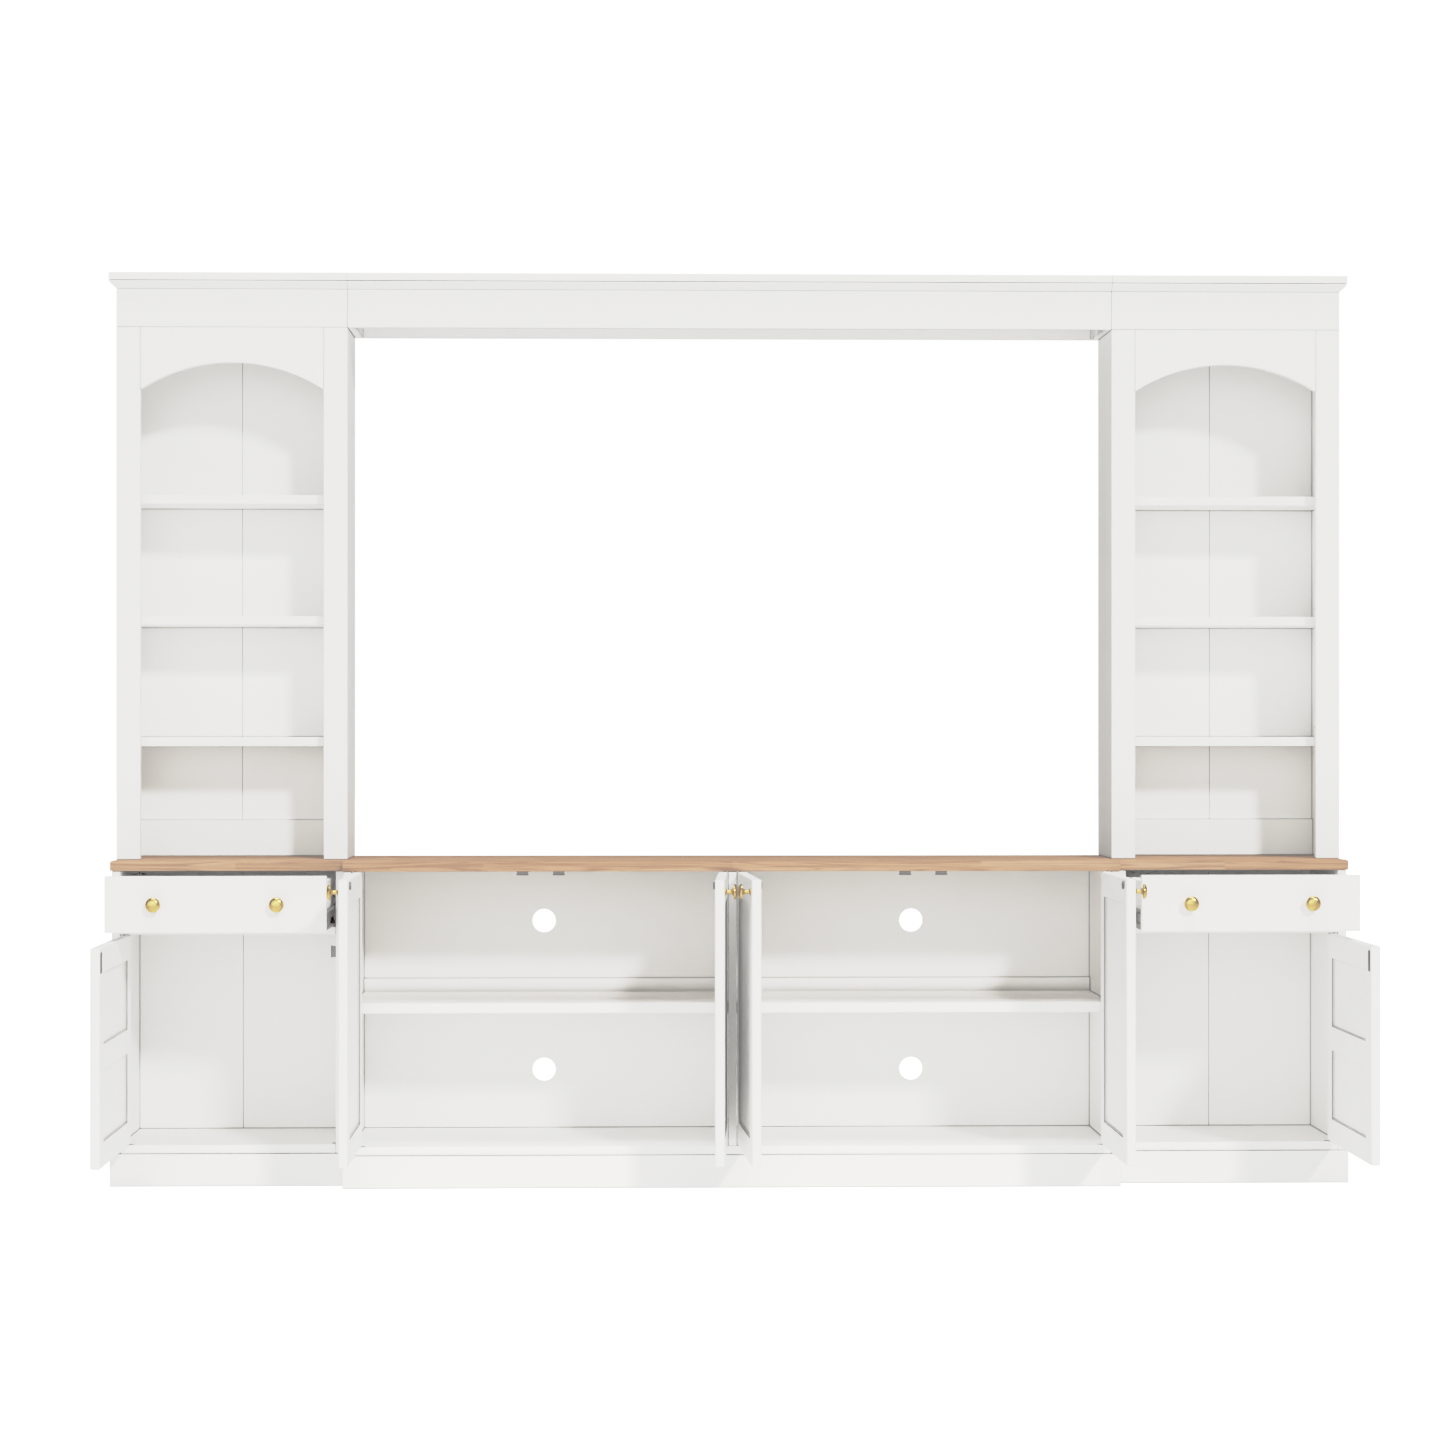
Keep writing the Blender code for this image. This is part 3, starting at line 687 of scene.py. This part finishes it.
def make_console_catches():
    """A catch under the oak for each console door, and the round strike that meets it."""
    oak_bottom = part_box("console_top")[0].z
    for number in range(1, 5):
        name = f"console_door_{number}"
        place, reach = hinge_frame(name)
        low, high = extent(name, place)
        free_edge = high.x if reach > 0 else low.x
        hinge = place.translation
        seat = Vector((hinge.x + free_edge - reach * round_strike_from_edge,
                       hinge.y + high.y + round_strike_rise + catch_gap, oak_bottom))
        make_catch(f"console_catch_{number}", axes(seat, (-1, 0, 0), (0, 1, 0), (0, 0, -1)),
                   console_catch_rise)
        shape = bmesh.new()
        profile = [(round_strike_radius, 0.0), (round_strike_radius, round_strike_rise * 0.6),
                   (round_strike_radius * 0.93, round_strike_rise * 0.95),
                   (round_strike_radius * 0.60, round_strike_rise),
                   (round_strike_radius * 0.50, round_strike_rise * 0.45),
                   (0.0, round_strike_rise * 0.4)]
        on_door = strike_place(name, round_strike_from_edge, round_strike_drop)
        add_turned(shape, profile, screw_sides, on_door)
        add_screw(shape, on_door @ Matrix.Translation((0, 0, round_strike_rise * 0.4)),
                  round_strike_radius * 0.40, round_strike_rise * 0.5)
        finish_shape(f"{name}_strike", shape, dark_steel, name)


def make_tower_catches():
    """A catch on the inner side of each tower, and the tall strike on its door."""
    for side, sign in (("left", -1), ("right", 1)):
        name = f"{side}_tower_door"
        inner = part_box(f"{side}_tower_side_inner")
        face_x = inner[0].x if sign < 0 else inner[1].x
        place = hinge_frame(name)[0]
        high = extent(name, place)[1]
        drop = tall_strike_height / 2 + tower_catch_drop - catch_width / 2
        seat = Vector((face_x, place.translation.y + high.y + tall_strike_sheet + catch_gap,
                       high.z - pin_reach - drop))
        make_catch(f"{side}_tower_catch", axes(seat, (0, 0, -sign), (0, 1, 0), (sign, 0, 0)),
                   tower_catch_rise)
        shape = bmesh.new()
        on_door = strike_place(name, tall_strike_from_edge, drop - tall_strike_lift)
        half = Vector((tall_strike_width / 2, tall_strike_height / 2, 0.0))
        add_plate(shape, (-half.x, -half.y, 0.0), (half.x, half.y, tall_strike_sheet),
                  sheet_corner, plate_easing, on_door)
        for way in (-1, 1):
            seat = Vector((0.0, way * half.y * strike_screw_share, tall_strike_sheet))
            add_screw(shape, on_door @ Matrix.Translation(seat), screw_radius,
                      catch_gap * strike_screw_rise)
        finish_shape(f"{name}_strike", shape, dark_steel, name)


# Small fittings

def make_slide_fittings():
    """Screws in both members of each slide, and a dark painted groove shade on the drawer's member.
    """
    for side, sign in (("left", -1), ("right", 1)):
        rail_screws = bmesh.new()
        member_screws = bmesh.new()
        groove_shade_loops = bmesh.new()
        box_low, box_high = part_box(f"{side}_drawer_box")
        for label, way in (("inner", sign), ("outer", -sign)):
            low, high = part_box(f"{side}_slide_rail_{label}")
            back_x = low.x if way > 0 else high.x
            middle_z = (low.z + high.z) / 2
            web_x = back_x + way * slide_web_depth
            for share in slide_screw_shares:
                seat = Vector((back_x + way * slide_sheet, low.y + (high.y - low.y) * share,
                               middle_z))
                add_screw(rail_screws, axes(seat, (0, 1, 0), (0, 0, way), (way, 0, 0)))
                seat = Vector((web_x, box_low.y + (box_high.y - box_low.y) * share, middle_z))
                add_screw(member_screws, axes(seat, (0, 1, 0), (0, 0, -way), (-way, 0, 0)))
            # Painted shade: a dark loop where the member's groove is shaded
            seat = Vector((web_x, box_low.y + groove_shade_start, middle_z))
            add_loop(groove_shade_loops, groove_shade_length, groove_shade_radius, groove_shade_stroke, groove_shade_rise,
                     axes(seat, (0, 1, 0), (0, 0, -way), (-way, 0, 0)))
        finish_shape(f"{side}_slide_rail_screws", rail_screws, steel, "root")
        finish_shape(f"{side}_slide_member_screws", member_screws, steel,
                     f"{side}_drawer")
        finish_shape(f"{side}_slide_groove_shade", groove_shade_loops, groove_shade_finish, f"{side}_drawer")


def make_door_caps():
    """White caps over the fixing holes of each panel of the tower doors."""
    for side in ("left", "right"):
        name = f"{side}_tower_door"
        place, reach = hinge_frame(name)
        inner_face = extent(name, place)[1].y
        shape = bmesh.new()
        for along in cap_reaches:
            for height in cap_heights:
                seat = place @ Matrix.Translation((reach * along, inner_face - cap_sink, height))
                add_disc(shape, seat @ Matrix.Rotation(-math.pi / 2, 4, "X"), cap_radius, cap_rise)
        finish_shape(f"{name}_caps", shape, white_paint, name)


def make_side_plugs():
    """Plugs over the shelf fixings, on the inner faces of the hutches' side boards."""
    for side, sign in (("left", -1), ("right", 1)):
        shape = bmesh.new()
        start_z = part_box(f"{side}_hutch_shelf_1")[1].z
        for board, way in (("outer", -sign), ("inner", sign)):
            low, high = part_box(f"{side}_hutch_side_{board}")
            face_x = high.x if way > 0 else low.x
            for rise in plug_rises:
                seat = Vector((face_x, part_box(f"{side}_hutch_back")[0].y - plug_from_back,
                               start_z + rise))
                add_disc(shape, axes(seat, (0, 1, 0), (0, 0, way), (way, 0, 0)), plug_radius,
                         plug_rise)
        finish_shape(f"{side}_hutch_plugs", shape, dark_steel, "root")


def make_foot_plates():
    """Steel plates on the decks, beside each door's pivot and where the tower doors stop."""
    for name in [name for name in nodes if "_door" in name and "_knob" not in name]:
        cabinet = name[:name.index("_door")]
        place, reach = hinge_frame(name)
        hinge = place.translation
        spans = [(hinge.x, reach, foot_plate_span, hinge.y)]
        if cabinet != "console":
            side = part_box(f"{cabinet}_side_inner")
            face_x = side[0].x if reach > 0 else side[1].x
            spans.append((face_x, -reach, stop_plate_span, hinge.y + stop_plate_back))
        shape = bmesh.new()
        for start_x, way, span_x, middle_y in spans:
            low_x, high_x = sorted(start_x + way * reached for reached in span_x)
            floor_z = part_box(f"{cabinet}_base")[1].z
            add_plate(shape, (low_x, middle_y - foot_plate_width / 2, floor_z),
                      (high_x, middle_y + foot_plate_width / 2, floor_z + foot_plate_rise),
                      foot_plate_corner, fine_easing)
        finish_shape(f"{name}_foot_plates", shape, dark_steel, "root")


def make_back_nails():
    """Small nail heads along the edges of the back panels, on their rear faces."""
    for name in ("console_back", "left_tower_back", "right_tower_back", "left_hutch_back",
                 "right_hutch_back"):
        low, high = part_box(name)
        left, right = low.x + nail_from_edge, high.x - nail_from_edge
        bottom, top = low.z + nail_from_edge, high.z - nail_from_edge
        columns = round((right - left) / nail_spacing)
        rows = round((top - bottom) / nail_spacing)
        places = [(left + (right - left) * step / columns, z) for step in range(columns + 1)
                  for z in (bottom, top)]
        places += [(x, bottom + (top - bottom) * step / rows) for step in range(1, rows)
                   for x in (left, right)]
        shape = bmesh.new()
        for x, z in places:
            add_disc(shape, axes(Vector((x, high.y, z)), (-1, 0, 0), (0, 0, 1), (0, 1, 0)),
                     nail_radius, nail_rise, nail_sides)
        finish_shape(f"{name}_nails", shape, dark_steel, "root")


# Stage

def make_floor():
    """A plain pale floor that is as bright as the backdrop."""
    shape = bmesh.new()
    corners = ((-1, -1), (1, -1), (1, 1), (-1, 1))
    shape.faces.new([shape.verts.new((x * floor_reach, y * floor_reach, -floor_drop))
                     for x, y in corners])
    mesh = bpy.data.meshes.new("pale_floor")
    shape.to_mesh(mesh)
    shape.free()
    made, tree, shader = new_material("pale_floor")
    mottle = noise(tree, stretched(tree, (1.0, 1.0, 1.0)), 3.0, 3.0)
    colour = mixed(tree, mottle, *(grey(level) for level in floor_levels))
    tree.links.new(colour, shader.inputs["Base Color"])
    shader.inputs["Roughness"].default_value = 0.9
    shader.inputs["Specular IOR Level"].default_value = 0.0
    shader.inputs["Emission Color"].default_value = grey(1.0)
    seen = node(tree, "ShaderNodeLightPath").outputs["Is Camera Ray"]
    glow = span(tree, seen, 0.0, 1.0, floor_glow, backdrop_strength)
    tree.links.new(glow, shader.inputs["Emission Strength"])
    mesh.materials.append(made)
    floor = add_object("pale_floor", mesh)


def add_sun(name, direction, strength, softness, colour):
    """A far light that shines along a direction."""
    lamp = bpy.data.lights.new(name, "SUN")
    lamp.energy = strength
    lamp.angle = softness
    lamp.color = colour
    made = add_object(name, lamp)
    made.rotation_euler = Vector(direction).to_track_quat("-Z", "Y").to_euler()


def make_lights():
    """A key from the upper right, and soft light from the left, the front, above and below."""
    add_sun("key_light", key_direction, key_strength, key_softness, key_colour)
    add_sun("left_fill", fill_direction, fill_strength, fill_softness, fill_colour)
    add_sun("front_fill", front_direction, front_strength, front_softness, front_colour)
    add_sun("top_light", top_direction, top_strength, top_softness, top_colour)
    lamp = bpy.data.lights.new("floor_pool", "AREA")
    lamp.shape = "DISK"
    lamp.size = 2 * pool_radius
    lamp.color = pool_colour
    lamp.energy = pool_radiance * (math.pi * pool_radius) ** 2
    pool = add_object("floor_pool", lamp)
    pool.location = pool_place
    pool.rotation_euler = (math.pi, 0.0, 0.0)
    pool.visible_camera = False

    surround = bpy.data.worlds.new("white_surround")
    surround.use_nodes = True
    tree = surround.node_tree
    sky = tree.nodes["Background"]
    sky.inputs["Color"].default_value = grey(1.0)
    seen = node(tree, "ShaderNodeLightPath").outputs["Is Camera Ray"]
    glow = span(tree, seen, 0.0, 1.0, sky_strength, backdrop_strength)
    tree.links.new(glow, sky.inputs["Strength"])
    bpy.context.scene.world = surround


def make_camera():
    """The photograph's camera, level and turned a little to the right."""
    optics = bpy.data.cameras.new("photo_camera")
    optics.sensor_width = sensor_width
    optics.lens = focal_pixels / photo_side * sensor_width
    optics.clip_end = 4 * floor_reach
    camera = add_object("photo_camera", optics)
    camera.location = camera_place
    camera.rotation_euler = (math.pi / 2, 0.0, -camera_turn)
    bpy.context.scene.camera = camera


def set_exposure():
    """Show light with soft highlights, by a curve that levels off."""
    shown = bpy.context.scene.view_settings
    shown.view_transform = "Standard"
    shown.look = "None"
    shown.exposure = 0.0
    shown.gamma = 1.0
    shown.use_curve_mapping = True
    mapping = shown.curve_mapping
    mapping.white_level = (white_level, white_level, white_level)
    curve = mapping.curves[3]
    for level, shown_level in tone_points:
        curve.points.new(level / white_level, shown_level)
    for point in curve.points:
        point.handle_type = "AUTO_CLAMPED"
    mapping.update()


make_camera()
make_lights()
make_floor()
set_exposure()
dress_nodes()
plate_slide_members()
make_knobs()
make_console_catches()
make_tower_catches()
make_slide_fittings()
make_door_caps()
make_side_plugs()
make_foot_plates()
make_back_nails()
